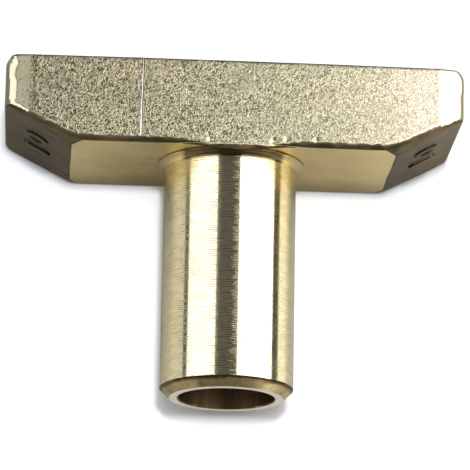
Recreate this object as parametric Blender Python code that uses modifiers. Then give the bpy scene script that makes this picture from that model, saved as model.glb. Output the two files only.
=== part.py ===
"""T-handle operating key of a gas valve: a forged brass crossbar on a turned, hollow brass stem.

The stem's spigot sits in a blind socket in the crossbar, held by two tangent lock pins. Inside the stem a
steel driver with a square socket slides on a square shank. A spring presses it against a circlip, so it gives
way by a few millimetres when the key is pushed onto a valve's square spindle.

The key lies on its back face: X runs along the crossbar, the stem points to -Y, and +Z is the front face.
Metres. s is a distance along the stem, from the crossbar's faced underside towards the stem's mouth.
"""

import math

import bmesh
import bpy
from mathutils import Vector

MM = 0.001

# Crossbar
BAR_HALF = 31.0 * MM
BAR_HEIGHT = 11.8 * MM
BAR_DEPTH = 22.0 * MM
SLOPE_START = 22.1 * MM
SLOPE_END_HEIGHT = 4.85 * MM
TAPER_IN = 1.3 * MM
TAPER_DEPTH = 2.0 * MM
TAPER_OUT = 6.3 * MM
TAPER_RISE = 3.5 * MM
BACK_TAPER = 0.55
END_FACET_WIDTH = 3.4 * MM
LEFT_FACET_DROP = 0.3 * MM
RIGHT_FACET_DROP = 0.7 * MM
FORGING_EDGE = 0.7 * MM
MARK_HEIGHT = 0.25 * MM
MARK_RING_R = 1.8 * MM
MARK_RING_Z = 2.6 * MM
MARK_BAR_HALF = 2.1 * MM
MARK_BAR_WIDTH = 1.4 * MM
MARK_BAR_Z = -2.0 * MM

# Stem
STEM_R = 9.0 * MM
STEM_LENGTH = 32.5 * MM
BORE_R = 6.5 * MM
BORE_DEPTH = 27.5 * MM
MOUTH_CHAMFER = 1.3 * MM
BORE_BREAK = 0.15 * MM
FLARE_R = 10.1 * MM
FLARE_LAND = 0.15 * MM
SPIGOT_R = 7.0 * MM
SPIGOT_LENGTH = 7.0 * MM

# Driver and what holds it
HEAD_R = 6.4 * MM
HEAD_LENGTH = 10.0 * MM
HEAD_CHAMFER = 0.4 * MM
SQUARE = 8.0 * MM
SQUARE_DEPTH = 8.0 * MM
SHANK = 6.9 * MM
SHANK_END_S = 1.0 * MM
SLIDE = 0.1 * MM
GAP = 0.1 * MM
CIRCLIP_S = 26.8 * MM
CIRCLIP_THICK = 1.0 * MM
CIRCLIP_OUTER_R = 6.75 * MM
CIRCLIP_INNER_R = 5.75 * MM
CIRCLIP_GAP_HALF = 0.9 * MM
LUG_R = 1.0 * MM
LUG_HOLE_R = 0.45 * MM
LUG_FROM_AXIS = 5.75 * MM
LUG_SPREAD = 1.9 * MM
WASHER_THICK = 0.8 * MM
WASHER_R = 6.35 * MM
WASHER_HOLE_R = 5.0 * MM
MAGNET_R = 3.0 * MM
MAGNET_THICK = 1.8 * MM
WIRE_R = 0.4 * MM
COIL_R = 5.6 * MM
COILS = 5

# Lock pins
PIN_R = 1.5 * MM
PIN_LENGTH = 17.5 * MM
PIN_X = 7.2 * MM
PIN_S = -3.6 * MM
PIN_INSET = 0.3 * MM

# The whole key is centred on Y, and stands on Z = 0.
UNDERSIDE_Y = (STEM_LENGTH - BAR_HEIGHT) / 2
AXIS_Z = BAR_DEPTH / 2
ROUND = 96


def clear_scene():
    for obj in list(bpy.data.objects):
        bpy.data.objects.remove(obj, do_unlink=True)


def new_collection(name, hidden=False):
    collection = bpy.data.collections.new(name)
    bpy.context.scene.collection.children.link(collection)
    collection.hide_render = hidden
    return collection


def principled(name, color, roughness, metallic=1.0):
    material = bpy.data.materials.new(name)
    material.use_nodes = True
    shader = material.node_tree.nodes["Principled BSDF"]
    shader.inputs["Base Color"].default_value = (*color, 1.0)
    shader.inputs["Roughness"].default_value = roughness
    shader.inputs["Metallic"].default_value = metallic
    return material


def new_object(name, data, collection, material=None):
    obj = bpy.data.objects.new(name, data)
    collection.objects.link(obj)
    if material:
        data.materials.append(material)
    return obj


def mesh_object(name, bm, collection, material=None):
    """An object made from a bmesh, which it frees."""
    bmesh.ops.recalc_face_normals(bm, faces=bm.faces)
    mesh = bpy.data.meshes.new(name)
    bm.to_mesh(mesh)
    bm.free()
    return new_object(name, mesh, collection, material)


def box(name, low, high, collection, material=None):
    bm = bmesh.new()
    bmesh.ops.create_cube(bm, size=1.0)
    low, high = Vector(low), Vector(high)
    for vert in bm.verts:
        vert.co = Vector([(low[i] + high[i]) / 2 + vert.co[i] * (high[i] - low[i]) for i in range(3)])
    return mesh_object(name, bm, collection, material)


def disc(name, radius, low, high, collection, material=None, at=(0.0, 0.0), segments=ROUND):
    """A cylinder along the object's Z, from low to high."""
    bm = bmesh.new()
    bmesh.ops.create_cone(
        bm, cap_ends=True, segments=segments, radius1=radius, radius2=radius, depth=high - low
    )
    bmesh.ops.translate(bm, vec=(at[0], at[1], (low + high) / 2), verts=bm.verts)
    return mesh_object(name, bm, collection, material)


def turned(name, profile, collection, material=None, steps=ROUND):
    """A solid of revolution about the object's Z, from (radius, height) points that run from top to bottom."""
    mesh = bpy.data.meshes.new(name)
    points = [(radius, 0.0, height) for radius, height in profile]
    mesh.from_pydata(points, [(i, i + 1) for i in range(len(points) - 1)], [])
    obj = new_object(name, mesh, collection, material)
    screw = obj.modifiers.new("Turn", "SCREW")
    screw.axis = "Z"
    screw.steps = steps
    screw.render_steps = steps
    screw.use_merge_vertices = True
    screw.merge_threshold = 1e-6
    return obj


def arc(center, radius, start, end, count):
    """Points on an arc in (radius, height), angles in degrees."""
    angles = [math.radians(start + (end - start) * i / count) for i in range(count + 1)]
    return [(center[0] + radius * math.cos(a), center[1] + radius * math.sin(a)) for a in angles]


def combine(obj, other, operation):
    boolean = obj.modifiers.new(operation.title(), "BOOLEAN")
    boolean.operation = operation
    boolean.solver = "EXACT"
    boolean.object = other
    other.display_type = "WIRE"
    other.hide_render = True


def slice_off(bm, point, normal):
    """Cuts away what lies beyond the plane, and closes the cut."""
    cut = bmesh.ops.bisect_plane(
        bm,
        geom=bm.verts[:] + bm.edges[:] + bm.faces[:],
        plane_co=point,
        plane_no=normal,
        clear_outer=True,
    )
    edges = [item for item in cut["geom_cut"] if isinstance(item, bmesh.types.BMEdge)]
    bmesh.ops.contextual_create(bm, geom=edges)


def plane_through(a, b, c, outward):
    """(point, normal) of the plane through three points, its normal on the outward side."""
    a, b, c = Vector(a), Vector(b), Vector(c)
    normal = (b - a).cross(c - a).normalized()
    return a, normal if normal.dot(Vector(outward)) > 0 else -normal


def stem_frame():
    """An empty on the stem's axis at the crossbar's underside, with its Z towards the crossbar's top."""
    empty = new_object("key_axis", None, scene_collection)
    empty.location = (0.0, UNDERSIDE_Y, AXIS_Z)
    empty.rotation_euler = (-math.pi / 2, 0.0, 0.0)
    return empty


def on_axis(*objects):
    for obj in objects:
        obj.parent = axis
    return objects[0]


def crossbar():
    """The forging: sloped ends below, tapered corners, shallow facets at both ends of its broad faces."""
    bm = bmesh.new()
    bmesh.ops.create_cube(bm, size=1.0)
    bmesh.ops.scale(bm, vec=(2 * BAR_HALF, BAR_HEIGHT, BAR_DEPTH), verts=bm.verts)
    bmesh.ops.translate(bm, vec=(0.0, BAR_HEIGHT / 2, 0.0), verts=bm.verts)
    half_depth = BAR_DEPTH / 2
    for side, drop in ((-1, LEFT_FACET_DROP), (1, RIGHT_FACET_DROP)):
        slope = plane_through(
            (side * SLOPE_START, 0.0, 0.0),
            (side * BAR_HALF, SLOPE_END_HEIGHT, 0.0),
            (side * SLOPE_START, 0.0, half_depth),
            (side, -1.0, 0.0),
        )
        slice_off(bm, *slope)
        for face, share in ((-1, BACK_TAPER), (1, 1.0)):
            taper = plane_through(
                (side * (SLOPE_START - share * TAPER_IN), 0.0, face * half_depth),
                (side * SLOPE_START, 0.0, face * (half_depth - share * TAPER_DEPTH)),
                (side * (SLOPE_START + share * TAPER_OUT), share * TAPER_RISE, face * half_depth),
                (side, -1.0, face),
            )
            slice_off(bm, *taper)
            end_facet = plane_through(
                (side * (BAR_HALF - END_FACET_WIDTH), 0.0, face * half_depth),
                (side * (BAR_HALF - END_FACET_WIDTH), BAR_HEIGHT, face * half_depth),
                (side * BAR_HALF, 0.0, face * (half_depth - drop)),
                (side, 0.0, face),
            )
            slice_off(bm, *end_facet)
    bar = mesh_object("crossbar", bm, parts, brass_forged)
    bar.location = (0.0, UNDERSIDE_Y, AXIS_Z)
    edge = bar.modifiers.new("Forged edges", "BEVEL")
    edge.width = FORGING_EDGE
    edge.segments = 3
    edge.limit_method = "ANGLE"
    edge.angle_limit = math.radians(35)

    socket = disc(
        "crossbar_socket", SPIGOT_R + GAP, -1.0 * MM, SPIGOT_LENGTH + GAP, cutters, segments=ROUND
    )
    combine(bar, on_axis(socket), "DIFFERENCE")
    for side in (-1, 1):
        hole = disc("pin_hole", PIN_R + GAP, -1.0 * MM, PIN_INSET + PIN_LENGTH + GAP, cutters, segments=32)
        hole.location = (side * PIN_X, UNDERSIDE_Y - PIN_S, 0.0)
        combine(bar, hole, "DIFFERENCE")
        for mark in die_marks(side):
            combine(bar, mark, "UNION")
    return bar


def die_marks(side):
    """A low raised ring and a low raised bar on a sloped end, as plain die marks."""
    slope = math.atan2(SLOPE_END_HEIGHT, BAR_HALF - SLOPE_START)
    middle = Vector((side * (SLOPE_START + BAR_HALF) / 2, UNDERSIDE_Y + SLOPE_END_HEIGHT / 2, AXIS_Z))
    dish = [(0.0, 0.1), (0.5, 0.25), (0.62, 0.85)]
    wall = [(0.78, 1.0), (0.9, 0.85), (1.0, 0.4), (1.0, -1.0), (0.0, -1.0)]
    profile = [(radius * MARK_RING_R, height * MARK_HEIGHT) for radius, height in dish + wall]
    ring = turned("mark_ring", profile, cutters, steps=32)
    half_width = MARK_BAR_WIDTH / 2
    low = (-MARK_BAR_HALF, -half_width, -MARK_HEIGHT)
    bar = box("mark_bar", low, (MARK_BAR_HALF, half_width, MARK_HEIGHT), cutters)
    for mark, z in ((ring, MARK_RING_Z), (bar, MARK_BAR_Z)):
        mark.location = middle + Vector((0.0, 0.0, z))
        mark.rotation_euler = (math.pi / 2, 0.0, side * slope)
    return ring, bar


def stem():
    """The turned tube: flare and spigot at the crossbar, a web with a square hole, and a bore to the mouth."""
    fillet_r = FLARE_R - STEM_R
    mouth = -STEM_LENGTH
    groove_top = -(CIRCLIP_S - GAP)
    groove_bottom = -(CIRCLIP_S + CIRCLIP_THICK + GAP)
    groove_r = CIRCLIP_OUTER_R + GAP
    web = -(STEM_LENGTH - BORE_DEPTH)
    profile = [(0.0, SPIGOT_LENGTH), (SPIGOT_R - 0.3 * MM, SPIGOT_LENGTH), (SPIGOT_R, SPIGOT_LENGTH - 0.3 * MM)]
    profile += [(SPIGOT_R, -GAP), (FLARE_R, -GAP), (FLARE_R, -GAP - FLARE_LAND)]
    profile += arc((FLARE_R, -GAP - FLARE_LAND - fillet_r), fillet_r, 90, 180, 6)[1:]
    profile += [(STEM_R, mouth + MOUTH_CHAMFER), (STEM_R - MOUTH_CHAMFER, mouth)]
    profile += [(BORE_R + BORE_BREAK, mouth), (BORE_R, mouth + BORE_BREAK), (BORE_R, groove_bottom)]
    profile += [(groove_r, groove_bottom), (groove_r, groove_top), (BORE_R, groove_top)]
    profile += [(BORE_R, web), (0.0, web)]
    tube = on_axis(turned("stem", profile, parts, brass_turned))
    half = SHANK / 2 + SLIDE
    square = box(
        "web_square", (-half, -half, web - 1.0 * MM), (half, half, SPIGOT_LENGTH + 1.0 * MM), cutters
    )
    combine(tube, on_axis(square), "DIFFERENCE")
    for side in (-1, 1):
        notch = disc(
            "pin_notch", PIN_R + GAP, PIN_INSET - GAP, PIN_INSET + PIN_LENGTH + GAP, cutters, segments=32
        )
        notch.location = (side * PIN_X, UNDERSIDE_Y - PIN_S, 0.0)
        combine(tube, notch, "DIFFERENCE")
    return tube


def lock_pins():
    """Tangent to the spigot, pressed in from the back face: they stop it turning and pulling out."""
    chamfer = 0.3 * MM
    for side, name in ((-1, "lock_pin_left"), (1, "lock_pin_right")):
        low, high = PIN_INSET, PIN_INSET + PIN_LENGTH
        profile = [(0.0, high), (PIN_R - chamfer, high), (PIN_R, high - chamfer)]
        profile += [(PIN_R, low + chamfer), (PIN_R - chamfer, low), (0.0, low)]
        pin = turned(name, profile, parts, steel, steps=32)
        pin.location = (side * PIN_X, UNDERSIDE_Y - PIN_S, 0.0)


def driver():
    """The sliding driver: a round head with a square socket, on a square shank that can't turn in the web."""
    head_bottom = -(CIRCLIP_S - GAP)
    head_top = head_bottom + HEAD_LENGTH
    profile = [(0.0, head_top), (HEAD_R - HEAD_CHAMFER, head_top), (HEAD_R, head_top - HEAD_CHAMFER)]
    profile += [(HEAD_R, head_bottom + HEAD_CHAMFER), (HEAD_R - HEAD_CHAMFER, head_bottom), (0.0, head_bottom)]
    head = on_axis(turned("driver", profile, parts, steel))
    half = SHANK / 2
    shank = box("driver_shank", (-half, -half, head_top - 0.5 * MM), (half, half, -SHANK_END_S), cutters)
    combine(head, on_axis(shank), "UNION")
    half = SQUARE / 2
    socket_top = head_bottom + SQUARE_DEPTH
    socket = box("driver_socket", (-half, -half, head_bottom - 1.0 * MM), (half, half, socket_top), cutters)
    combine(head, on_axis(socket), "DIFFERENCE")
    magnet_top = socket_top + MAGNET_THICK
    pocket = disc("magnet_pocket", MAGNET_R + GAP, socket_top - MM, magnet_top + GAP, cutters, segments=48)
    combine(head, on_axis(pocket), "DIFFERENCE")
    on_axis(disc("magnet", MAGNET_R, socket_top, magnet_top, parts, magnet_metal, segments=48))
    return head_top


def thrust_washer():
    web = -(STEM_LENGTH - BORE_DEPTH)
    low, high = web - GAP - WASHER_THICK, web - GAP
    washer = on_axis(disc("thrust_washer", WASHER_R, low, high, parts, steel))
    hole = disc("washer_hole", WASHER_HOLE_R, low - MM, high + MM, cutters)
    combine(washer, on_axis(hole), "DIFFERENCE")
    return low


def spring(low, high):
    """A compression spring round the shank, as one wire with a coil laid flat at each end."""
    steps = 16
    total = (COILS + 2) * steps
    bottom, top = low + GAP + WIRE_R, high - GAP - WIRE_R
    lie = 2 * WIRE_R * 1.08
    curve = bpy.data.curves.new("driver_spring", "CURVE")
    curve.dimensions = "3D"
    curve.bevel_depth = WIRE_R
    curve.bevel_resolution = 2
    curve.use_fill_caps = True
    line = curve.splines.new("POLY")
    line.points.add(total)
    for i, point in enumerate(line.points):
        turn = i / steps
        angle = 2 * math.pi * turn
        if turn < 1:
            height = bottom + lie * turn
        elif turn > COILS + 1:
            height = top - lie * (COILS + 2 - turn)
        else:
            height = bottom + lie + (top - bottom - 2 * lie) * (turn - 1) / COILS
        point.co = (COIL_R * math.cos(angle), COIL_R * math.sin(angle), height, 1.0)
    on_axis(new_object("driver_spring", curve, parts, spring_steel))


def circlip():
    """An internal retaining ring: a flat ring with a gap between two drilled lugs."""
    low, high = -(CIRCLIP_S + CIRCLIP_THICK), -CIRCLIP_S
    ring = on_axis(disc("circlip", CIRCLIP_OUTER_R, low, high, parts, spring_steel))
    inside = disc("circlip_inside", CIRCLIP_INNER_R, low - MM, high + MM, cutters)
    combine(ring, on_axis(inside), "DIFFERENCE")
    lug_x = LUG_SPREAD
    lug_y = math.sqrt(LUG_FROM_AXIS**2 - lug_x**2)
    for side in (-1, 1):
        lug = disc("circlip_lug", LUG_R, low, high, cutters, at=(side * lug_x, lug_y), segments=32)
        combine(ring, on_axis(lug), "UNION")
    for side in (-1, 1):
        eye = disc(
            "circlip_eye", LUG_HOLE_R, low - MM, high + MM, cutters, at=(side * lug_x, lug_y), segments=24
        )
        combine(ring, on_axis(eye), "DIFFERENCE")
    gap_low, gap_high = (-CIRCLIP_GAP_HALF, 0.0, low - MM), (CIRCLIP_GAP_HALF, 8 * MM, high + MM)
    mouth = box("circlip_gap", gap_low, gap_high, cutters)
    combine(ring, on_axis(mouth), "DIFFERENCE")


clear_scene()
scene_collection = bpy.context.scene.collection
parts = new_collection("gas_valve_key")
cutters = new_collection("cutters", hidden=True)
brass_forged = principled("forged_brass", (0.66, 0.58, 0.38), 0.45)
brass_turned = principled("turned_brass", (0.78, 0.66, 0.42), 0.22)
steel = principled("hardened_steel", (0.42, 0.42, 0.44), 0.35)
spring_steel = principled("spring_steel", (0.30, 0.30, 0.32), 0.40)
magnet_metal = principled("nickel_plated_magnet", (0.75, 0.75, 0.76), 0.15)

axis = stem_frame()
crossbar()
stem()
lock_pins()
head_top_height = driver()
washer_low = thrust_washer()
spring(head_top_height, washer_low)
circlip()
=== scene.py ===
"""Looks of the gas valve key: a shot-blasted forging, a turned stem, and the steel drive inside it."""

import math

import bmesh
import bpy
import numpy as np
from mathutils import Matrix, Vector, noise


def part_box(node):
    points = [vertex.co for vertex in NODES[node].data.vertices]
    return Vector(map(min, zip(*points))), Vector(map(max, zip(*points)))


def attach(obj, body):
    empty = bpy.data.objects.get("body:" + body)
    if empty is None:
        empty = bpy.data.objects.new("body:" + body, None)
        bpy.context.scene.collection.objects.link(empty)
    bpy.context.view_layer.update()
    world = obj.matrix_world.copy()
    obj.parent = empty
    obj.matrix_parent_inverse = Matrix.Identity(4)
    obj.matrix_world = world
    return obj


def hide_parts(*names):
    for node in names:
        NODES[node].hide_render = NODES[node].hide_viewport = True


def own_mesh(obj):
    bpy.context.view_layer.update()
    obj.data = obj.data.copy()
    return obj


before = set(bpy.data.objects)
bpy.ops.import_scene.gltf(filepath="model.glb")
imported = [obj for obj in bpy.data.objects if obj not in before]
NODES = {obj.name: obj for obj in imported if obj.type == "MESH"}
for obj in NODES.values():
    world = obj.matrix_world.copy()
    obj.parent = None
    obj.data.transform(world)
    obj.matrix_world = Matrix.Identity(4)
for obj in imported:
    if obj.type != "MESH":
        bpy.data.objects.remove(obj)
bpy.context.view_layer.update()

MM = 0.001
COLLECTION = bpy.context.scene.collection

# Where the CAD puts things
BAR_LOW, BAR_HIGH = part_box("crossbar")
STEM_LOW, STEM_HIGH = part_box("stem")
BAR_HALF = BAR_HIGH.x
BAR_HEIGHT = BAR_HIGH.y - BAR_LOW.y
BAR_DEPTH = BAR_HIGH.z
UNDERSIDE = BAR_LOW.y
AXIS_Z = BAR_DEPTH / 2
STEM_LENGTH = UNDERSIDE - STEM_LOW.y
SPIGOT_LENGTH = STEM_HIGH.y - UNDERSIDE

# The forging's planes, as in the CAD source. Sides are -1 for the left end and 1 for the right.
SLOPE_START = 22.1 * MM
SLOPE_END_HEIGHT = 4.85 * MM
TAPER_IN = 1.3 * MM
TAPER_DEPTH = 2.0 * MM
TAPER_OUT = 6.3 * MM
TAPER_RISE = 3.5 * MM
BACK_TAPER = 0.55
END_FACET_WIDTH = 3.4 * MM
END_FACET_DROP = {-1: 0.3 * MM, 1: 0.7 * MM}
FACET_X = BAR_HALF - END_FACET_WIDTH

# The forging's skin: how far its broad front face falls away at the ends, and how round its edges are
FRONT_CROWN = 0.4 * MM
EDGE_ROUND = 0.5 * MM
LOWER_EDGE_ROUND = 0.8 * MM
LEFT_END_ROUND = 1.5 * MM
RIGHT_END_ROUND = 0.8 * MM
TOP_CORNER_ROUND = {-1: 1.8 * MM, 1: 1.7 * MM}
SLOPE_EDGE_ROUND = 0.15 * MM
SLOPE_END_ROUND = 0.31 * MM
TAPER_ROUND = 0.45 * MM
FACET_ROUND = 0.05 * MM
SKIN_CELL = 0.22 * MM

# How deep the skin's unevenness goes: long waves, fine grain, and the ragged lower edges
WAVE_DEPTH = 0.03 * MM
GRAIN_DEPTH = 0.012 * MM
RAGGED_DEPTH = 0.07 * MM

# A swelling at the middle of the front face's lower edge, left by the die
SWELLING = 0.62 * MM
SWELLING_X = 0.6 * MM
SWELLING_HALF = 9.4 * MM
SWELLING_EDGE_ROUND = 0.22 * MM

# A straight scratch down the front face
SCRATCH_TOP_X = -12.42 * MM
SCRATCH_LOW_X = -12.6 * MM
SCRATCH_SLANT = (SCRATCH_TOP_X - SCRATCH_LOW_X) / BAR_HEIGHT
SCRATCH_HALF = 0.15 * MM
SCRATCH_DEPTH = 0.05 * MM

# Small dents on the front face, in millimetres: x, height above the underside, radius and depth
DENTS = (
    (-3.3, 0.5, 0.45, 0.16),
    (5.2, 0.55, 0.55, 0.2),
    (6.9, 0.8, 0.4, 0.14),
    (10.9, 0.9, 0.35, 0.12),
    (2.6, 9.2, 0.4, 0.08),
    (-6.4, 6.8, 0.3, 0.08),
    (9.8, 7.4, 0.3, 0.08),
)

# Die marks on the sloped ends
MARK_HEIGHT = 0.25 * MM
MARK_RING_R = 1.8 * MM
MARK_RING_Z = 2.6 * MM
MARK_BAR_HALF = 2.1 * MM
MARK_BAR_WIDTH = 1.4 * MM
MARK_BAR_Z = -2.0 * MM
MARK_SIDES = 48

# The part of a sloped end that its marks and the painted shade on their walls take up, from its middle
SHADED_MARKS_HALF_X = 2.6 * MM
SHADED_MARKS_HALF_Z = 5.5 * MM

# The stem's profile, as in the CAD source, and the lathe's feed
STEM_R = 9.0 * MM
BORE_R = 6.5 * MM
BORE_DEPTH = 27.5 * MM
BORE_BREAK = 0.15 * MM
MOUTH_CHAMFER = 1.3 * MM
FLARE_R = STEM_HIGH.x
FLARE_LAND = 0.12 * MM
FLARE_TURN = math.radians(55)
FLARE_BREAK = 0.04 * MM
SPIGOT_R = 7.0 * MM
SPIGOT_BREAK = 0.3 * MM
GROOVE_R = 6.85 * MM
GAP = 0.1 * MM
SQUARE_HALF = 3.55 * MM
STEM_SIDES = 256
FEED = 0.3 * MM
FEED_DEPTH = 0.006 * MM

# The spring, as in the CAD source
WIRE_R = 0.4 * MM
COIL_R = 5.6 * MM
COILS = 5


# ---------------------------------------------------------------- shader helpers


class Shader:
    """A short way to write a node tree: add() makes a node and sets or links its inputs by name or index."""

    def __init__(self, name):
        self.material = bpy.data.materials.new(name)
        self.material.use_nodes = True
        self.tree = self.material.node_tree
        self.surface = self.tree.nodes["Principled BSDF"]
        coordinates = self.add("ShaderNodeTexCoord")
        self.position = coordinates.outputs["Object"]
        self.x, self.y, self.z = self.add("ShaderNodeSeparateXYZ", {0: self.position}).outputs
        self.facing = self.add("ShaderNodeSeparateXYZ", {0: coordinates.outputs["Normal"]}).outputs

    def add(self, kind, inputs=None, **settings):
        node = self.tree.nodes.new(kind)
        for key, value in settings.items():
            setattr(node, key, value)
        for key, value in (inputs or {}).items():
            self.put(node.inputs[key], value)
        return node

    def put(self, socket, value):
        if isinstance(value, bpy.types.NodeSocket):
            self.tree.links.new(value, socket)
        else:
            socket.default_value = value

    def set(self, **inputs):
        """Sets the surface's inputs, each named as the Principled shader names it, in lower case."""
        for key, value in inputs.items():
            self.put(self.surface.inputs[key.replace("_", " ").title()], value)

    def math(self, operation, *values):
        node = self.add("ShaderNodeMath", dict(enumerate(values)), operation=operation)
        return node.outputs[0]

    def times(self, first, *others):
        """The product of two or more values."""
        for other in others:
            first = self.math("MULTIPLY", first, other)
        return first

    def apart(self, a, b):
        """How far two values are from each other."""
        return self.math("ABSOLUTE", self.math("SUBTRACT", a, b))

    def share(self, value, half):
        """0 where the value is at -half, 1 where it is at half, and straight between."""
        return self.math("MULTIPLY_ADD", value, 0.5 / half, 0.5)

    def step(self, value, low, high):
        """0 where the value is at low, 1 where it is at high, and smooth between."""
        inputs = {"Value": value, "From Min": low, "From Max": high}
        node = self.add("ShaderNodeMapRange", inputs, interpolation_type="SMOOTHSTEP", clamp=True)
        return node.outputs["Result"]

    def noise(self, scale, detail=3.0, roughness=0.5, distortion=0.0, vector=None):
        """Fractal noise from 0 to 1. scale is in features per metre."""
        inputs = {
            "Vector": vector or self.position,
            "Scale": scale,
            "Detail": detail,
            "Roughness": roughness,
            "Distortion": distortion,
        }
        return self.add("ShaderNodeTexNoise", inputs).outputs["Fac"]

    def streaks(self, scales, detail, roughness, distortion=0.0):
        """Noise with a scale of its own along each axis, in features per metre."""
        node = self.add("ShaderNodeVectorMath", {0: self.position, 1: scales}, operation="MULTIPLY")
        return self.noise(1.0, detail, roughness, distortion, node.outputs["Vector"])

    def swing(self, value, width):
        """A noise from 0 to 1 turned into a shift to either side, width from end to end."""
        return self.times(self.math("SUBTRACT", value, 0.5), width)

    def ridges(self, value, width):
        """1 along the lines where a noise crosses its middle, and 0 at width from there."""
        return self.step(self.apart(value, 0.5), width, 0.0)

    def ramp(self, value, *stops):
        """A colour or grey by value: stops are (place, colour), a colour being three numbers or one grey."""
        node = self.add("ShaderNodeValToRGB", {"Fac": value})
        elements = node.color_ramp.elements
        while len(elements) < len(stops):
            elements.new(0.5)
        for element, (place, color) in zip(elements, stops):
            element.position = place
            color = color if isinstance(color, tuple) else (color,) * 3
            element.color = (*color, 1.0)
        return node.outputs["Color"]

    def mix(self, factor, a, b, blend_type="MIX"):
        """a where the factor is 0 and b where it is 1, both as colours."""
        node = self.add("ShaderNodeMix", data_type="RGBA", blend_type=blend_type)
        for socket, value in zip((node.inputs[0], node.inputs[6], node.inputs[7]), (factor, a, b)):
            self.put(socket, value if not isinstance(value, tuple) else (*value, 1.0))
        return node.outputs[2]

    def bump(self, height, distance, strength, normal=None):
        node = self.add("ShaderNodeBump", {"Height": height, "Distance": distance, "Strength": strength})
        if normal:
            self.put(node.inputs["Normal"], normal)
        return node.outputs["Normal"]


# ---------------------------------------------------------------- the forging's finishes


def facet_mask(s, wobble):
    """The smooth facets at the ends of the broad faces, with a wavering inner edge."""
    across = s.math("ADD", s.math("ABSOLUTE", s.x), wobble)
    return s.step(across, FACET_X + 0.02 * MM, FACET_X + 0.16 * MM)


def under_mask(s, facet):
    """The skin that faces down: slopes, tapers, lower edges. Its border is ragged, less so at the facets."""
    downward = s.math("ADD", s.times(s.facing[1], -1.0), s.swing(s.noise(1300, 3, 0.6), 0.5))
    return s.step(s.math("SUBTRACT", downward, s.times(facet, 0.3)), 0.15, 0.28)


def rim_dark_reflection_mask(s):
    """The rounded edges at the top and at both ends, without the flat sides past them, where a dark
    reflection is painted.
    """
    rim = s.math("MAXIMUM", s.step(s.facing[1], 0.3, 0.55), s.step(s.facing[0], 0.3, 0.55))
    rim = s.math("MAXIMUM", rim, s.step(s.facing[0], -0.6, -0.8))
    flat = s.step(s.math("MAXIMUM", s.facing[1], s.math("ABSOLUTE", s.facing[0])), 0.95, 0.985)
    return s.times(rim, s.math("SUBTRACT", 1.0, flat))


def mark_wall_shade_mask(s):
    """The walls of the die marks on the slopes, painted near black as their shade."""
    from_middle = s.apart(s.math("ABSOLUTE", s.x), (SLOPE_START + BAR_HALF) / 2)
    on_slope = s.step(from_middle, SHADED_MARKS_HALF_X, SHADED_MARKS_HALF_X - 0.3 * MM)
    at_marks = s.step(s.apart(s.z, AXIS_Z), SHADED_MARKS_HALF_Z, SHADED_MARKS_HALF_Z - 0.5 * MM)
    wall = s.step(s.math("ABSOLUTE", s.facing[2]), 0.12, 0.3)
    return s.times(wall, on_slope, at_marks)


def scratch_mask(s):
    """The scratch down the front face, as scratch_cutter() cuts it."""
    middle = s.math("ADD", s.times(s.math("SUBTRACT", s.y, UNDERSIDE), SCRATCH_SLANT), SCRATCH_LOW_X)
    groove = s.step(s.apart(s.x, middle), SCRATCH_HALF, 0.8 * SCRATCH_HALF)
    return s.times(groove, s.math("GREATER_THAN", s.facing[2], 0.5))


def fold_mask(s, wobble):
    """A broken line where the left facet begins."""
    from_line = s.apart(s.x, 0.5 * MM - FACET_X)
    line = s.step(s.math("ADD", from_line, wobble), 0.5 * MM, 0.05 * MM)
    return s.times(line, s.step(s.noise(300, 2), 0.25, 0.6))


def blasted_color(s, patches, pits, worms):
    """The shot-blasted skin: greyer and darker to the left as a painted shade, pink at the right end, with
    dark pits and pale ridges.
    """
    dull, plain, bright = (0.53, 0.475, 0.285), (0.60, 0.535, 0.32), (0.68, 0.585, 0.35)
    color = s.ramp(patches, (0.3, dull), (0.5, plain), (0.72, bright))
    place = s.math("ADD", s.x, s.times(s.noise(60, 2, 0.5), 12 * MM))
    pink = s.times(s.step(place, 22 * MM, 30 * MM), 0.8)
    color = s.mix(pink, color, (0.90, 0.72, 0.53))
    # Painted shade: the skin is darkened towards the left end and kept full bright at the right, as the light
    # falls.
    shade = s.ramp(s.share(s.x, BAR_HALF), (0.08, (0.67, 0.67, 0.62)), (0.5, (0.84, 0.84, 0.80)), (0.8, 1.0))
    color = s.mix(1.0, color, shade, "MULTIPLY")
    high_up = s.step(s.y, UNDERSIDE + 5 * MM, UNDERSIDE + 11 * MM)
    tarnish = s.times(s.step(s.noise(240, 3, 0.6, 0.4), 0.50, 0.64), high_up, s.step(s.x, 0.0, -14 * MM), 0.6)
    color = s.mix(tarnish, color, (0.60, 0.44, 0.25))
    color = s.mix(s.ramp(pits, (0.32, 0.38), (0.45, 0.0)), color, (0.26, 0.22, 0.12))
    return s.mix(s.times(worms, 0.5), color, (0.94, 0.90, 0.70))


def facet_color(s, facet_pits, left_end):
    """The facets: golden, pitted on the left, and greyer where the left one rolls over its end."""
    color = s.ramp(s.noise(180, 3, 0.55), (0.3, (0.79, 0.70, 0.45)), (0.7, (0.91, 0.82, 0.57)))
    pitted = s.times(facet_pits, s.step(s.x, 5 * MM, -5 * MM))
    color = s.mix(pitted, color, (0.42, 0.32, 0.19))
    return s.mix(s.times(left_end, 0.8), color, (0.43, 0.39, 0.28))


def faced_color(s, stain):
    """The machined underside: golden, freckled, and darker near the table, a painted shade."""
    color = s.ramp(s.noise(170, 3, 0.5), (0.3, (0.76, 0.605, 0.28)), (0.7, (0.92, 0.765, 0.41)))
    color = s.mix(s.ramp(stain, (0.2, 0.35), (0.4, 0.0)), color, (0.45, 0.33, 0.15))
    # Painted shade: darker towards the table, where its reflection of the table lies in shadow.
    return s.mix(s.times(s.step(s.z, 9 * MM, 0.0), 0.55), color, (0.30, 0.22, 0.09))


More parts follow.
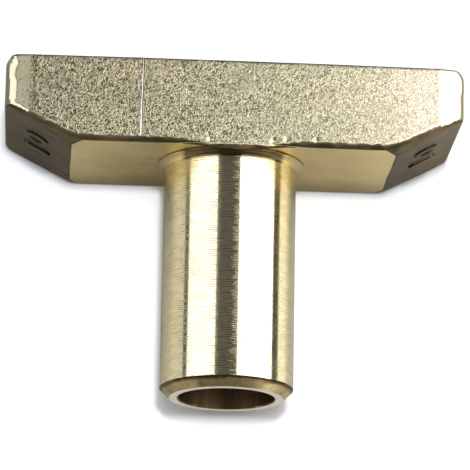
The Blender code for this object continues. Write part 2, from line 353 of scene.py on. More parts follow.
def forged_brass():
    """The crossbar: blasted broad faces, smooth end facets, dark die-formed slopes, a faced underside."""
    s = Shader("forged_brass")
    patches = s.noise(130, 3, 0.55)
    pits = s.noise(2500, 2.0, 0.55, 0.8)
    worms = s.ridges(s.noise(2300, 2.0, 0.6, 1.2), 0.055)
    specks = s.ramp(s.noise(4300, 1.5, 0.5), (0.60, 0.0), (0.72, 1.0))
    facet_pits = s.ramp(s.noise(1500, 3, 0.6, 1.5), (0.34, 0.9), (0.42, 0.0))
    scale = s.mix(0.6, s.noise(260, 4, 0.6, 0.5), s.streaks((260, 260, 620), 3, 0.6, 0.6))
    stain = s.noise(700, 3, 0.6)

    wobble = s.swing(s.noise(900, 3), 0.35 * MM)
    facet = facet_mask(s, wobble)
    left_end = s.step(s.facing[0], -0.10, -0.18)
    scratch = scratch_mask(s)
    under = under_mask(s, facet)
    faced = s.math("COMPARE", s.y, UNDERSIDE, 0.02 * MM)

    black, brown, rust = (0.05, 0.038, 0.018), (0.10, 0.078, 0.041), (0.19, 0.13, 0.068)
    color = s.mix(facet, blasted_color(s, patches, pits, worms), facet_color(s, facet_pits, left_end))
    color = s.mix(s.times(fold_mask(s, wobble), 0.55), color, (0.30, 0.20, 0.10))
    color = s.mix(scratch, color, (0.92, 0.90, 0.78))
    # Painted reflection: the rounded edges are darkened in the colour, as they reflect the dark surroundings.
    color = s.mix(s.times(rim_dark_reflection_mask(s), 0.85), color, (0.16, 0.135, 0.09))
    color = s.mix(under, color, s.ramp(scale, (0.35, black), (0.5, brown), (0.65, rust)))
    # Painted shade: the marks' walls are near black, which gives them dark outlines.
    color = s.mix(s.times(mark_wall_shade_mask(s), 0.92), color, (0.012, 0.009, 0.005))
    color = s.mix(faced, color, faced_color(s, stain))

    rough = s.mix(facet, s.ramp(patches, (0.3, 0.29), (0.7, 0.24)), s.ramp(patches, (0.3, 0.30), (0.7, 0.40)))
    rough = s.mix(s.times(worms, 0.6), rough, (0.22, 0.22, 0.22))
    rough = s.mix(left_end, rough, (0.16, 0.16, 0.16))
    rough = s.mix(scratch, rough, (0.18, 0.18, 0.18))
    rough = s.mix(under, rough, s.ramp(scale, (0.3, 0.40), (0.7, 0.56)))
    rough = s.mix(faced, rough, s.ramp(stain, (0.3, 0.33), (0.7, 0.42)))

    blasted = s.math("ADD", s.times(pits, 0.19), s.times(worms, 0.20))
    blasted = s.math("ADD", blasted, s.times(specks, 0.16))
    height = s.mix(facet, blasted, s.times(facet_pits, -0.10))
    height = s.mix(scratch, height, (0.3, 0.3, 0.3))
    height = s.mix(under, height, s.times(s.noise(1500, 4, 0.6), 0.35))
    height = s.mix(faced, height, s.times(s.streaks((350, 350, 3200), 3, 0.6), 0.07))
    s.set(base_color=color, metallic=1.0, roughness=rough, normal=s.bump(height, 0.1 * MM, 0.42))
    return s.material


# ---------------------------------------------------------------- the stem's finishes, and the steel


def turned_brass():
    """The stem: fine feed lines round it, uneven as a worn tool leaves them, which spread light along it. The
    lines are also painted dark, as the shade in their grooves.
    """
    s = Shader("turned_brass")
    feed = s.streaks((90, 4200, 90), 1.5, 0.6)
    wander = s.streaks((260, 900, 260), 3, 0.6)
    drift = s.times(s.streaks((300, 900, 300), 2, 0.5), 7.0)
    phase = s.math("ADD", s.times(s.y, 2 * math.pi / FEED), drift)
    broken = s.step(s.streaks((500, 1500, 500), 2, 0.6), 0.30, 0.62)
    lines = s.times(s.step(s.math("SINE", phase), 0.45, 0.95), broken)

    tone = s.ramp(s.noise(220, 3, 0.6), (0.3, (0.82, 0.72, 0.45)), (0.7, (0.90, 0.80, 0.52)))
    warm = s.step(s.streaks((160, 70, 160), 2, 0.5), 0.5, 0.75)
    tone = s.mix(s.times(warm, 0.4), tone, (0.86, 0.66, 0.30))
    # Painted shade: the feed lines are darkened in the colour, as their grooves look in shade.
    tone = s.mix(s.times(lines, 0.95), tone, (0.19, 0.172, 0.135))
    # Painted reflection: the root's hollow is dark brown in the middle, where it reflects the shade under the
    # crossbar, and golden at the sides.
    root = s.step(s.y, UNDERSIDE - 1.15 * MM, UNDERSIDE - 0.95 * MM)
    root_middle_shade = s.times(s.step(s.math("ABSOLUTE", s.x), 7.2 * MM, 6.3 * MM), 0.9)
    tone = s.mix(root, tone, s.mix(root_middle_shade, (0.84, 0.68, 0.34), (0.10, 0.07, 0.035)))
    s.set(base_color=tone, metallic=1.0, roughness=s.ramp(wander, (0.3, 0.13), (0.7, 0.20)))

    round_axis = s.add("ShaderNodeTangent", direction_type="RADIAL", axis="Y")
    s.set(anisotropic=1.0, anisotropic_rotation=0.25, tangent=round_axis.outputs[0])
    height = s.math("SUBTRACT", s.times(feed, 0.15), s.times(lines, 0.4))
    fine = s.bump(height, 0.030 * MM, 0.6)
    s.set(normal=s.bump(wander, 0.012 * MM, 0.4, fine))
    return s.material


def chamfer_brass():
    """The mouth's chamfer: browned, with dark stains and cracks along its edge, and brighter to the right as
    a painted light.
    """
    s = Shader("chamfer_brass")
    stain = s.noise(420, 4, 0.65)
    speck = s.noise(1700, 3, 0.6)
    tone = s.ramp(stain, (0.3, (0.30, 0.215, 0.10)), (0.5, (0.56, 0.44, 0.22)), (0.7, (0.74, 0.62, 0.34)))
    # Painted light: the chamfer is darker at its left and full bright at its right, as the light falls.
    light_to_right = s.ramp(s.share(s.x, STEM_R), (0.1, (0.72, 0.71, 0.64)), (0.5, 0.86), (0.9, 1.0))
    tone = s.mix(1.0, tone, light_to_right, "MULTIPLY")
    tone = s.mix(s.ramp(speck, (0.28, 0.7), (0.40, 0.0)), tone, (0.22, 0.13, 0.05))

    edge_y = STEM_LOW.y + MOUTH_CHAMFER
    wobble = s.swing(s.noise(650, 3), 0.7 * MM)
    rim = s.step(s.math("ADD", s.y, wobble), edge_y - 0.55 * MM, edge_y - 0.25 * MM)
    tone = s.mix(s.times(rim, 0.9), tone, (0.09, 0.05, 0.02))
    crack = s.step(s.math("ADD", s.y, s.times(wobble, 0.3)), edge_y - 0.22 * MM, edge_y - 0.12 * MM)
    crack = s.times(crack, s.step(s.noise(500, 2), 0.42, 0.5))
    tone = s.mix(crack, tone, (0.02, 0.012, 0.005))
    s.set(base_color=tone, metallic=1.0, roughness=s.ramp(stain, (0.3, 0.42), (0.7, 0.30)))
    s.set(normal=s.bump(s.math("ADD", speck, stain), 0.03 * MM, 0.6))
    return s.material


def faced_brass():
    """The mouth's flat end: freshly faced, pale."""
    s = Shader("faced_brass")
    patches = s.noise(500, 3)
    s.set(base_color=s.ramp(patches, (0.3, (0.90, 0.84, 0.70)), (0.7, (0.97, 0.93, 0.82))), metallic=1.0)
    s.set(roughness=s.ramp(patches, (0.3, 0.42), (0.7, 0.52)))
    s.set(normal=s.bump(s.noise(3000, 2), 0.012 * MM, 0.6))
    return s.material


def bore_brass():
    """The bore and the web: drilled, with cutting oil stains, and painted dark as the shade deep in the bore.
    """
    s = Shader("bore_brass")
    oil_and_depth_shade = s.streaks((1100, 150, 1100), 3, 0.6)
    rings = s.streaks((60, 2600, 60), 2, 0.6)
    # Partly real oil stain, partly painted shade: the bore's colour is kept very dark for the shade deep
    # inside it.
    tone = s.ramp(oil_and_depth_shade, (0.3, (0.10, 0.052, 0.024)), (0.55, (0.20, 0.12, 0.062)), (0.72, (0.40, 0.275, 0.155)))
    s.set(base_color=tone, metallic=1.0, roughness=s.ramp(oil_and_depth_shade, (0.3, 0.45), (0.7, 0.30)))
    s.set(normal=s.bump(s.math("ADD", oil_and_depth_shade, rings), 0.02 * MM, 0.6))
    return s.material


def steel(name, dark, light, roughness, lines):
    """A ground or drawn steel. lines gives its marks' density along each axis, per metre."""
    s = Shader(name)
    marks = s.streaks(lines, 3, 0.6)
    s.set(base_color=s.ramp(s.noise(300, 4, 0.6), (0.3, dark), (0.7, light)), metallic=1.0)
    s.set(roughness=s.ramp(marks, (0.3, roughness), (0.7, roughness + 0.12)))
    s.set(normal=s.bump(marks, 0.006 * MM, 0.6))
    return s.material


# ---------------------------------------------------------------- mesh helpers


def link(name, mesh, materials=()):
    """Puts a mesh in the scene as an object."""
    obj = bpy.data.objects.new(name, mesh)
    COLLECTION.objects.link(obj)
    for material in materials:
        mesh.materials.append(material)
    return obj


def mesh_from(name, bm):
    """The finished mesh, its faces turned outwards."""
    bmesh.ops.recalc_face_normals(bm, faces=bm.faces)
    mesh = bpy.data.meshes.new(name)
    bm.to_mesh(mesh)
    bm.free()
    return mesh


def finished(obj, sharp_degrees):
    """Smooth shading, with the edges over that angle kept sharp."""
    obj.data.shade_smooth()
    obj.data.set_sharp_from_angle(angle=math.radians(sharp_degrees))
    return obj


def bake(obj):
    """Applies the object's modifiers to its mesh."""
    graph = bpy.context.evaluated_depsgraph_get()
    obj.data = bpy.data.meshes.new_from_object(obj.evaluated_get(graph))
    obj.modifiers.clear()


def combine(obj, other, operation="DIFFERENCE"):
    """Cuts the other mesh from the object, or joins it on, and removes the other."""
    boolean = obj.modifiers.new("Combine", "BOOLEAN")
    boolean.operation = operation
    boolean.solver = "MANIFOLD"
    boolean.object = other
    bake(obj)
    bpy.data.objects.remove(other, do_unlink=True)


def cylinder(radius, start, end, steps):
    """A solid rod between two points."""
    start, end = Vector(start), Vector(end)
    along = end - start
    turn = Vector((0.0, 0.0, 1.0)).rotation_difference(along).to_matrix().to_4x4()
    bm = bmesh.new()
    bmesh.ops.create_cone(
        bm, cap_ends=True, segments=steps, radius1=radius, radius2=radius, depth=along.length,
        matrix=Matrix.Translation((start + end) / 2) @ turn,
    )
    return link("rod", mesh_from("rod", bm))


def block(low, high):
    """A box between two opposite corners."""
    low, high = Vector(low), Vector(high)
    bm = bmesh.new()
    bmesh.ops.create_cube(bm, size=1.0)
    bmesh.ops.scale(bm, vec=high - low, verts=bm.verts)
    bmesh.ops.translate(bm, vec=(low + high) / 2, verts=bm.verts)
    return link("block", mesh_from("block", bm))


# ---------------------------------------------------------------- forging


def plane_through(a, b, c, outward):
    """(point, normal) of the plane through three points, its normal on the outward side."""
    a, b, c = Vector(a), Vector(b), Vector(c)
    normal = (b - a).cross(c - a).normalized()
    return a, normal if normal.dot(Vector(outward)) > 0 else -normal


def forging_planes():
    """The slopes, the tapered corners and the end facets, each by its side."""
    slopes, tapers, facets = {}, [], {}
    half = BAR_DEPTH / 2

    def at(x, y, z):
        return (x, UNDERSIDE + y, AXIS_Z + z)

    for side in (-1, 1):
        slopes[side] = plane_through(
            at(side * SLOPE_START, 0.0, 0.0),
            at(side * BAR_HALF, SLOPE_END_HEIGHT, 0.0),
            at(side * SLOPE_START, 0.0, half),
            (side, -1.0, 0.0),
        )
        facets[side] = []
        for front, share in ((-1, BACK_TAPER), (1, 1.0)):
            taper = plane_through(
                at(side * (SLOPE_START - share * TAPER_IN), 0.0, front * half),
                at(side * SLOPE_START, 0.0, front * (half - share * TAPER_DEPTH)),
                at(side * (SLOPE_START + share * TAPER_OUT), share * TAPER_RISE, front * half),
                (side, -1.0, front),
            )
            tapers.append(taper)
            facet = plane_through(
                at(side * FACET_X, 0.0, front * half),
                at(side * FACET_X, BAR_HEIGHT, front * half),
                at(side * BAR_HALF, 0.0, front * (half - END_FACET_DROP[side])),
                (side, 0.0, front),
            )
            facets[side].append(facet)
    return slopes, tapers, facets


def smooth_max(a, b, reach):
    """The larger of two fields, blended where they differ by less than reach, so that an edge is round."""
    overlap = np.maximum(reach - np.abs(a - b), 0.0) / reach
    return np.maximum(a, b) + overlap**2 * reach / 4


def smooth_step(value, low, high):
    """0 up to low, 1 from high on, and smooth between."""
    t = np.clip((value - low) / (high - low), 0.0, 1.0)
    return t * t * (3 - 2 * t)


def beyond(points, plane):
    """How far each point is past the plane."""
    point, normal = plane
    return (points - np.array(point)) @ np.array(normal)


def forging_field(points, slopes, tapers, facets):
    """Below zero inside the forging, zero on its rounded skin, in metres."""
    x, y, z = points.T
    forward = np.clip((z - AXIS_Z) / (BAR_DEPTH / 2), 0.0, 1.0)
    crowned = z + FRONT_CROWN * forward * (x / BAR_HALF) ** 2
    warped = np.column_stack((x, y, crowned))
    middle = np.clip(1 - ((x - SWELLING_X) / SWELLING_HALF) ** 2, 0.0, 1.0) ** 2
    swelling = SWELLING * middle * smooth_step(z, BAR_DEPTH - 1.1 * MM, BAR_DEPTH - 0.4 * MM)
    low = UNDERSIDE - y - swelling
    broad = np.maximum(crowned - BAR_DEPTH, -crowned)
    outline = y - BAR_HIGH.y
    for side in (-1, 1):
        outline = smooth_max(outline, side * x - BAR_HALF, TOP_CORNER_ROUND[side])
        low = smooth_max(low, beyond(points, slopes[side]), SLOPE_EDGE_ROUND)
        for facet in facets[side]:
            broad = smooth_max(broad, beyond(warped, facet), FACET_ROUND)
    outline = smooth_max(outline, low, SLOPE_END_ROUND)
    lower = (z > AXIS_Z) * (low > y - BAR_HIGH.y)
    reach = EDGE_ROUND + (LOWER_EDGE_ROUND - EDGE_ROUND) * lower
    reach = reach - (LOWER_EDGE_ROUND - SWELLING_EDGE_ROUND) * middle * lower
    for side, round_end in ((-1, LEFT_END_ROUND), (1, RIGHT_END_ROUND)):
        end_ahead = side * x - BAR_HALF - np.maximum(y - BAR_HIGH.y, low)
        reach = reach + (round_end - EDGE_ROUND) * smooth_step(end_ahead, -0.7 * MM, 0.1 * MM)
    field = smooth_max(broad, outline, reach)
    for taper in tapers:
        field = smooth_max(field, beyond(warped, taper), TAPER_ROUND)
    return field


def forging_block():
    """The forging's flat sides as one closed solid, before its edges are rounded."""
    slopes, tapers, facets = forging_planes()
    bm = bmesh.new()
    bmesh.ops.create_cube(bm, size=1.0)
    bmesh.ops.scale(bm, vec=(2 * BAR_HALF, BAR_HEIGHT, BAR_DEPTH), verts=bm.verts)
    bmesh.ops.translate(bm, vec=(0.0, UNDERSIDE + BAR_HEIGHT / 2, AXIS_Z), verts=bm.verts)
    for point, normal in [*slopes.values(), *tapers, *facets[-1], *facets[1]]:
        geometry = bm.verts[:] + bm.edges[:] + bm.faces[:]
        cut = bmesh.ops.bisect_plane(bm, geom=geometry, plane_co=point, plane_no=normal, clear_outer=True)
        edges = [item for item in cut["geom_cut"] if isinstance(item, bmesh.types.BMEdge)]
        bmesh.ops.contextual_create(bm, geom=edges)
    return link("forging", mesh_from("forging", bm))


def slope_of(field, points):
    """The field's steepest rise at each point, in its direction."""
    step = 0.01 * MM
    rises = []
    for i in range(3):
        shift = np.zeros(3)
        shift[i] = step
        rises.append((field(points + shift) - field(points - shift)) / (2 * step))
    return np.column_stack(rises)


def forging_skin(obj):
    """Moves every vertex of the finely divided block onto the rounded skin, then makes the skin uneven."""
    planes = forging_planes()

    def field(points):
        return forging_field(points, *planes)

    flat = np.empty(len(obj.data.vertices) * 3)
    obj.data.vertices.foreach_get("co", flat)
    points = flat.reshape(-1, 3)
    for _ in range(5):
        rise = slope_of(field, points)
        points = points - rise * (field(points) / np.maximum((rise**2).sum(axis=1), 0.05))[:, None]
    rise = slope_of(field, points)
    normals = rise / np.linalg.norm(rise, axis=1)[:, None]
    depth = np.array([unevenness(Vector(p), Vector(n)) for p, n in zip(points, normals)])
    points = points - normals * depth[:, None]
    obj.data.vertices.foreach_set("co", points.ravel())
    obj.data.update()


def unevenness(point, normal):
    """How far the real skin lies under the ideal one: not at all on the faced underside or the flat back."""
    if normal.y < -0.999 or normal.z < -0.999:
        return 0.0
    inboard = smooth_step(BAR_HALF - abs(point.x), 1.5 * MM, 4 * MM)
    waves = WAVE_DEPTH * (0.25 + 0.75 * inboard) * (1 + noise.noise(point * 160)) / 2
    grain = GRAIN_DEPTH * (1 + noise.noise(point * 700)) / 2
    low_edge = max(0.0, -4 * normal.y * normal.z)
    ragged = RAGGED_DEPTH * low_edge * (1 + noise.fractal(point * 900, 0.7, 2.0, 4)) / 2
    dent = 0.0
    if normal.z > 0.3:
        for x, height, radius, depth in DENTS:
            away = math.hypot(point.x / MM - x, (point.y - UNDERSIDE) / MM - height) / radius
            dent += depth * MM * math.exp(-away * away * 2)
    return waves + grain + ragged + dent


def scratch_cutter():
    """A long three-sided prism, point down into the front face. Its sides go on well past the face."""
    under_crown = 0.02 * MM
    surface = BAR_DEPTH - FRONT_CROWN * (SCRATCH_TOP_X / BAR_HALF) ** 2
    wide = 4.0
    corners = ((0.0, -1.0), (wide, wide - 1.0), (-wide, wide - 1.0))
    bm = bmesh.new()
    rings = []
    for y in (UNDERSIDE - MM, BAR_HIGH.y + MM):
        x = SCRATCH_LOW_X + SCRATCH_SLANT * (y - UNDERSIDE)
        places = [(x + SCRATCH_HALF * a, y, surface + SCRATCH_DEPTH * b - under_crown) for a, b in corners]
        rings.append([bm.verts.new(place) for place in places])
    for i in range(3):
        j = (i + 1) % 3
        bm.faces.new((rings[0][i], rings[0][j], rings[1][j], rings[1][i]))
    bm.faces.new(rings[0])
    bm.faces.new(reversed(rings[1]))
    return link("scratch", mesh_from("scratch", bm))


def die_mark(side, across, half_length, half_width, dished):
    """A low raised bar with round ends on a sloped end, moved across from its middle. A dished one is hollow
    on top, which makes a ring of one that is as wide as it is long."""
    climb = math.atan2(SLOPE_END_HEIGHT, BAR_HALF - SLOPE_START)
    up = Vector((side * math.cos(climb), math.sin(climb), 0.0))
    out = Vector((side * math.sin(climb), -math.cos(climb), 0.0))
    deep = up.cross(out)
    middle = Vector((side * (SLOPE_START + BAR_HALF) / 2, UNDERSIDE + SLOPE_END_HEIGHT / 2, AXIS_Z))
    place = Matrix((up, deep, out)).transposed().to_4x4()
    place.translation = middle + Vector((0.0, 0.0, across))
    # (share of the half width, height as a share of the mark's) from the rim to the middle
    profile = [(1.0, -1.0), (1.0, 0.4), (0.9, 0.85), (0.78, 1.0)]
    profile += [(0.62, 0.85), (0.5, 0.25), (0.0, 0.1)] if dished else [(0.0, 1.0)]
    straight = half_length - half_width
    bm = bmesh.new()
    rings = []
    for share, tall in profile:
        height = tall * MARK_HEIGHT
        if share == 0.0:
            rings.append([bm.verts.new((0.0, 0.0, height))])
            continue
        ring = []
        for i in range(MARK_SIDES):
            angle = 2 * math.pi * i / MARK_SIDES
            u, v = math.cos(angle), math.sin(angle)
            end = math.copysign(straight, u)
            ring.append(bm.verts.new((end + share * half_width * u, share * half_width * v, height)))
        rings.append(ring)
    bm.faces.new(rings[0])
    for a, b in zip(rings, rings[1:]):
        for i in range(MARK_SIDES):
            j = (i + 1) % MARK_SIDES
            corners = [a[i], a[j], b[j % len(b)], b[i % len(b)]]
            bm.faces.new(list(dict.fromkeys(corners)))
    bmesh.ops.transform(bm, matrix=place, verts=bm.verts)
    return link("mark", mesh_from("mark", bm))


def forging():
    """The crossbar as it came from the die, with its machined holes."""
    bar = forging_block()
    remesh = bar.modifiers.new("Fine skin", "REMESH")
    remesh.mode = "VOXEL"
    remesh.voxel_size = SKIN_CELL
    bake(bar)
    forging_skin(bar)
    for side in (-1, 1):
        combine(bar, die_mark(side, MARK_RING_Z, MARK_RING_R, MARK_RING_R, True), "UNION")
        combine(bar, die_mark(side, MARK_BAR_Z, MARK_BAR_HALF, MARK_BAR_WIDTH / 2, False), "UNION")
    combine(bar, scratch_cutter())
    middle = Vector((0.0, UNDERSIDE, AXIS_Z))
    socket_top = middle + Vector((0.0, SPIGOT_LENGTH + GAP, 0.0))
    combine(bar, cylinder(SPIGOT_R + GAP, middle - Vector((0.0, MM, 0.0)), socket_top, 192))
    for hole in pin_holes():
        combine(bar, hole)
    bar.data.materials.clear()
    bar.data.materials.append(forged_brass())
    return finished(bar, 40)


def pin_holes():
    """One cutter for each lock pin, from behind the back face to just past the pin."""
    for name in ("lock_pin_left", "lock_pin_right"):
        low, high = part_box(name)
        middle = (low + high) / 2
        radius = (high.x - low.x) / 2 + GAP
        yield cylinder(radius, (middle.x, middle.y, -MM), (middle.x, middle.y, high.z + GAP), 64)


# ---------------------------------------------------------------- stem


def arc(center, radius, start, end, count):
    """Points on an arc, in (radius, height); angles in radians."""
    angles = [start + (end - start) * i / count for i in range(count + 1)]
    return [(center[0] + radius * math.cos(a), center[1] + radius * math.sin(a)) for a in angles]


def revolve(name, profile, finishes, materials):
    """A closed solid turned about the stem's axis, from (radius, distance above the underside) points.
    finishes gives the material of each stretch between two points."""
    bm = bmesh.new()
    rings = []
    for radius, height in profile:
        y = UNDERSIDE + height
        if radius == 0.0:
            rings.append([bm.verts.new((0.0, y, AXIS_Z))])
            continue
        angles = [2 * math.pi * i / STEM_SIDES for i in range(STEM_SIDES)]
        rings.append([bm.verts.new((radius * math.sin(a), y, AXIS_Z + radius * math.cos(a))) for a in angles])
    for a, b, finish in zip(rings, rings[1:], finishes):
        for i in range(STEM_SIDES):
            j = (i + 1) % STEM_SIDES
            corners = [a[i % len(a)], a[j % len(a)], b[j % len(b)], b[i % len(b)]]
            face = bm.faces.new(list(dict.fromkeys(corners)))
            face.material_index = finish
    return link(name, mesh_from(name, bm), materials)


def stem():
    """The stem with its feed lines, and the bore, groove and square hole that the drive sits in."""
    turned, chamfered, faced, bored = range(4)
    mouth = -STEM_LENGTH
    web = mouth + BORE_DEPTH
    clip_low, clip_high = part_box("circlip")
    groove = (clip_low.y - GAP - UNDERSIDE, clip_high.y + GAP - UNDERSIDE)
    runs = [
        (bored, [(0.0, SPIGOT_LENGTH), (SPIGOT_R - SPIGOT_BREAK, SPIGOT_LENGTH)]),
        (bored, [(SPIGOT_R, SPIGOT_LENGTH - SPIGOT_BREAK), (SPIGOT_R, -GAP)]),
        (turned, flare() + feed_lines(mouth + MOUTH_CHAMFER)),
        (chamfered, [(STEM_R, mouth + MOUTH_CHAMFER)]),
        (faced, [(STEM_R - MOUTH_CHAMFER, mouth)]),
        (bored, [(BORE_R + BORE_BREAK, mouth), (BORE_R, mouth + BORE_BREAK), (BORE_R, groove[0])]),
        (bored, [(GROOVE_R, groove[0]), (GROOVE_R, groove[1]), (BORE_R, groove[1])]),
        (bored, [(BORE_R, web), (0.0, web)]),
    ]
    profile = [point for _, points in runs for point in points]
    finishes = [finish for finish, points in runs for _ in points]
    materials = [turned_brass(), chamfer_brass(), faced_brass(), bore_brass()]
    tube = revolve("turned_stem", profile, finishes, materials)
    square = block(
        (-SQUARE_HALF, UNDERSIDE + web - MM, AXIS_Z - SQUARE_HALF),
        (SQUARE_HALF, STEM_HIGH.y + MM, AXIS_Z + SQUARE_HALF),
    )
    for cutter in (square, *pin_holes()):
        cutter.data.materials.append(tube.data.materials[bored])
        combine(tube, cutter)
    return finished(tube, 24)


def flare():
    """The root: a thin land under the crossbar, and a hollow that meets the stem at a crisp line."""
    hollow = (FLARE_R - STEM_R) / math.sin(FLARE_TURN)
    center = (FLARE_R, -GAP - FLARE_LAND - hollow)
    start = math.pi / 2
    land = [(FLARE_R - FLARE_BREAK, -GAP), (FLARE_R, -GAP - FLARE_BREAK)]
    return land + arc(center, hollow, start, start + FLARE_TURN, 12)


def feed_lines(low):
    """The stem's wall from its root to the chamfer, with a shallow uneven groove for each turn."""
    hollow = (FLARE_R - STEM_R) / math.sin(FLARE_TURN)
    high = -GAP - FLARE_LAND - hollow * (1 - math.cos(FLARE_TURN))
    count = int((high - low) / FEED)
    points = []
    for i in range(1, 2 * count):
        height = high + (low - high) * i / (2 * count)
        depth = FEED_DEPTH * (0.3 + 0.7 * abs(noise.noise(Vector((0.0, height * 900, 3.1))))) * (i % 2)
        points.append((STEM_R - depth, height))
    return points


# ---------------------------------------------------------------- inside the stem


def spring():
    """The spring as one round wire between the driver and the washer, with a closed coil at each end.
    Also returned: where the wire's middle starts and ends."""
    cad_low, cad_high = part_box("driver_spring")
    low, high = cad_low.y + WIRE_R, cad_high.y - WIRE_R
    turns = COILS + 2
    closed_pitch = 2.16 * WIRE_R
    steps, sides = 64, 20
    bm = bmesh.new()
    rings = []
    for i in range(turns * steps + 1):
        turn = i / steps
        climb = min(max(turn - 1, 0.0), COILS) * (high - low - 2 * closed_pitch) / COILS
        y = low + closed_pitch * min(turn, 1.0) + climb + closed_pitch * max(turn - COILS - 1, 0.0)
        angle = 2 * math.pi * turn
        out = Vector((math.cos(angle), 0.0, -math.sin(angle)))
        center = Vector((0.0, y, AXIS_Z)) + out * COIL_R
        ring = []
        for k in range(sides):
            lean = 2 * math.pi * k / sides
            from_center = out * math.cos(lean) + Vector((0.0, math.sin(lean), 0.0))
            ring.append(bm.verts.new(center + WIRE_R * from_center))
        rings.append(ring)
    for a, b in zip(rings, rings[1:]):
        for k in range(sides):
            j = (k + 1) % sides
            bm.faces.new((a[k], a[j], b[j], b[k]))
    bm.faces.new(rings[0])
    bm.faces.new(rings[-1])
    material = steel("spring_wire", (0.30, 0.30, 0.31), (0.44, 0.44, 0.46), 0.26, (1500, 400, 1500))
    return finished(link("coil_spring", mesh_from("coil_spring", bm), [material]), 50), low, high


def paint_steel():
    """The finishes of the pieces that are shown as the CAD makes them."""
    hardened = steel("hardened_steel", (0.34, 0.34, 0.35), (0.50, 0.50, 0.52), 0.28, (400, 2600, 400))
    clip = steel("phosphated_clip", (0.16, 0.16, 0.17), (0.26, 0.26, 0.27), 0.38, (1800, 1800, 1800))
    nickel = steel("nickel_plate", (0.62, 0.61, 0.58), (0.74, 0.73, 0.69), 0.14, (900, 900, 900))
    paints = {"circlip": clip, "magnet": nickel}
    paints.update(dict.fromkeys(("driver", "thrust_washer", "lock_pin_left", "lock_pin_right"), hardened))
    for name, material in paints.items():
        node = NODES[name]
        node.data.materials.clear()
        node.data.materials.append(material)
        finished(node, 30)


# ---------------------------------------------------------------- scene


# The studio. The strength of each light is given as its radiance, as is the grey of the surroundings.
WORLD_GREY = 0.128
LIGHT_COLOR = (0.97, 0.99, 1.05)
SOFTBOX_AWAY = 600 * MM
SOFTBOX_LENGTH = 900 * MM
TABLE_LIGHT_HEIGHT = 3000 * MM
TABLE_HALF = 3000 * MM
CARD_HALF = 500 * MM
CARD_MIDDLE_Y = 100 * MM


def studio():
    """A pale table under two softboxes, with a dark gap between them, where the camera looks in.
    The table is two sheets: the camera sees one, lit from high above, and only the brass shows the other."""
    world = bpy.data.worlds.new("studio")
    bpy.context.scene.world = world
    world.use_nodes = True
    background = world.node_tree.nodes["Background"]
    background.inputs["Color"].default_value = (WORLD_GREY, WORLD_GREY, WORLD_GREY, 1.0)
    left = softbox("softbox_left", -74.5, -23.6, 2.0)
    right = softbox("softbox_right", 14.5, 84.0, 3.6)
    fill = area_light("reflected_table_fill", 1000 * MM, 1000 * MM, 1.9)
    fill.location = (100 * MM, 0.0, 600 * MM)
    fill.visible_glossy = False
    over_table = [
        table_light("table_light_wide", 5000 * MM, 0.94, 0.0, 0.0),
        table_light("table_light_middle", 840 * MM, 13.7, 30 * MM, 60 * MM),
        table_light("table_light_narrow", 210 * MM, 370.0, 30 * MM, 70 * MM),
    ]
    black, pale = paper(0.02), paper(0.4)
    card("black_card_right", 200 * MM, 0.0, 54 * MM, black)
    card("black_card_left", -170 * MM, 32 * MM, 59 * MM, black)
    card("pale_card_left", -170 * MM, 0.0, 32 * MM, pale)
    floor = table("floor", paper(0.85), -0.06 * MM)
    floor.visible_glossy = False
    light_only(floor, over_table)
    leave_unlit(floor, (left, right, fill))
    mirrored = table("floor_in_reflections", mirrored_paper(), -0.03 * MM)
    mirrored.visible_camera = False
    mirrored.visible_diffuse = False
    mirrored.visible_shadow = False
    bpy.context.scene.view_settings.view_transform = "Standard"


def paper(albedo):
    """Plain matt paper, of the table and the cards."""
    s = Shader("paper")
    s.set(base_color=(albedo, albedo, albedo, 1.0), roughness=0.9)
    return s.material


def mirrored_paper():
    """The table as the brass reflects it: warm, with painted light at both sides, most of all on the right.
    """
    s = Shader("mirrored_paper")
    near, left, right = (0.26, 0.25, 0.22), (0.36, 0.345, 0.295), (0.55, 0.525, 0.44)
    # Painted light: the sheet is brighter at both sides, most of all at the right.
    place = s.share(s.x, 100 * MM)
    s.set(base_color=s.ramp(place, (0.27, left), (0.37, near), (0.63, near), (0.73, right)), roughness=0.9)
    return s.material


def sheet(name, half, material):
    """A flat square that is not part of the key."""
    bm = bmesh.new()
    bmesh.ops.create_grid(bm, x_segments=1, y_segments=1, size=half)
    mesh = bpy.data.meshes.new(name)
    bm.to_mesh(mesh)
    bm.free()
    return link(name, mesh, [material])


def table(name, material, height):
    """A wide sheet that the key lies on. Its height is just under 0, where the key starts."""
    top = sheet(name, TABLE_HALF, material)
    top.location.z = height
    return top


def area_light(name, width, length, radiance):
    """A rectangular light, facing down. Its radiance is the same whatever its size."""
    light = bpy.data.lights.new(name, "AREA")
    light.shape = "RECTANGLE"
    light.size = width
    light.size_y = length
    light.energy = radiance * math.pi * width * length
    light.color = LIGHT_COLOR
    lamp = bpy.data.objects.new(name, light)
    COLLECTION.objects.link(lamp)
    lamp.visible_camera = False
    return lamp


def softbox(name, low, high, radiance):
    """A long panel above the key's side. It spans the angles low to high, from straight up, towards +X."""
    middle, half = math.radians((low + high) / 2), math.radians((high - low) / 2)
    lamp = area_light(name, 2 * SOFTBOX_AWAY * math.tan(half), SOFTBOX_LENGTH, radiance)
    lamp.location = (SOFTBOX_AWAY * math.sin(middle), 0.0, SOFTBOX_AWAY * math.cos(middle))
    lamp.rotation_euler = (0.0, middle, 0.0)
    return lamp


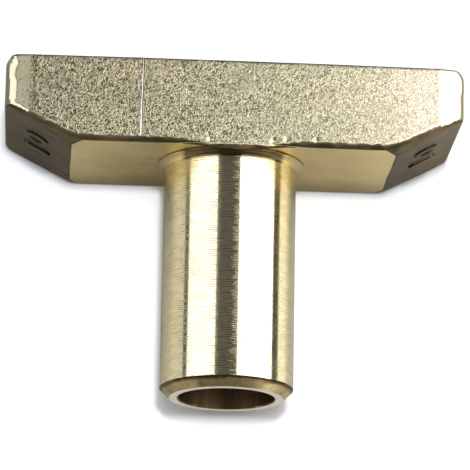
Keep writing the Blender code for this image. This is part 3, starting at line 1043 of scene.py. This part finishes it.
def table_light(name, size, radiance, x, y):
    """A square light high over the table. The wider it is, the softer the shadow that it gives the key."""
    lamp = area_light(name, size, size, radiance)
    lamp.location = (x, y, TABLE_LIGHT_HEIGHT)
    lamp.visible_glossy = False
    return lamp


def light_only(receiver, lamps):
    """The lamps light this object and nothing else."""
    lit = bpy.data.collections.new("lit_table")
    lit.objects.link(receiver)
    for lamp in lamps:
        lamp.light_linking.receiver_collection = lit


def leave_unlit(receiver, lamps):
    """The lamps light everything but this object."""
    left_out = bpy.data.collections.new("left_out")
    left_out.objects.link(receiver)
    left_out.collection_objects[0].light_linking.link_state = "EXCLUDE"
    for lamp in lamps:
        lamp.light_linking.receiver_collection = left_out


def card(name, x, low, high, material):
    """A long upright card beside the key. Only the brass shows it: a black one is a dark line there."""
    upright = sheet(name, CARD_HALF, material)
    upright.scale = ((high - low) / (2 * CARD_HALF), 1.0, 1.0)
    upright.rotation_euler = (0.0, math.pi / 2, 0.0)
    upright.location = (x, CARD_MIDDLE_Y, (low + high) / 2)
    upright.visible_camera = False
    upright.visible_diffuse = False
    upright.visible_shadow = False


def camera():
    """A long lens from above, a little to the mouth's side, with the key slightly turned in its view."""
    data = bpy.data.cameras.new("camera")
    data.sensor_width = 36.0
    data.lens = 249.0
    data.clip_start = 10 * MM
    tilt, yaw, roll = math.radians(-15.3), math.radians(3.27), math.radians(-1.04)
    distance = 441.5 * MM
    turn = Matrix.Rotation(roll, 3, "Z") @ Matrix.Rotation(tilt, 3, "X") @ Matrix.Rotation(yaw, 3, "Y")
    target = Vector((0.0, UNDERSIDE - 10 * MM, BAR_DEPTH - 10 * MM))
    aside = Vector((0.7465 * MM, 0.056 * MM, distance))
    back = turn.transposed()
    obj = bpy.data.objects.new("camera", data)
    COLLECTION.objects.link(obj)
    obj.matrix_world = Matrix.Translation(target + back @ aside) @ back.to_4x4()
    bpy.context.scene.camera = obj


camera()
studio()
paint_steel()

bar = forging()
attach(bar, "handle")
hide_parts("crossbar")

tube = stem()
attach(tube, "handle")
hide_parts("stem")

coil, coil_low, coil_high = spring()
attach(coil, "handle")
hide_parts("driver_spring")
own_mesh(coil)
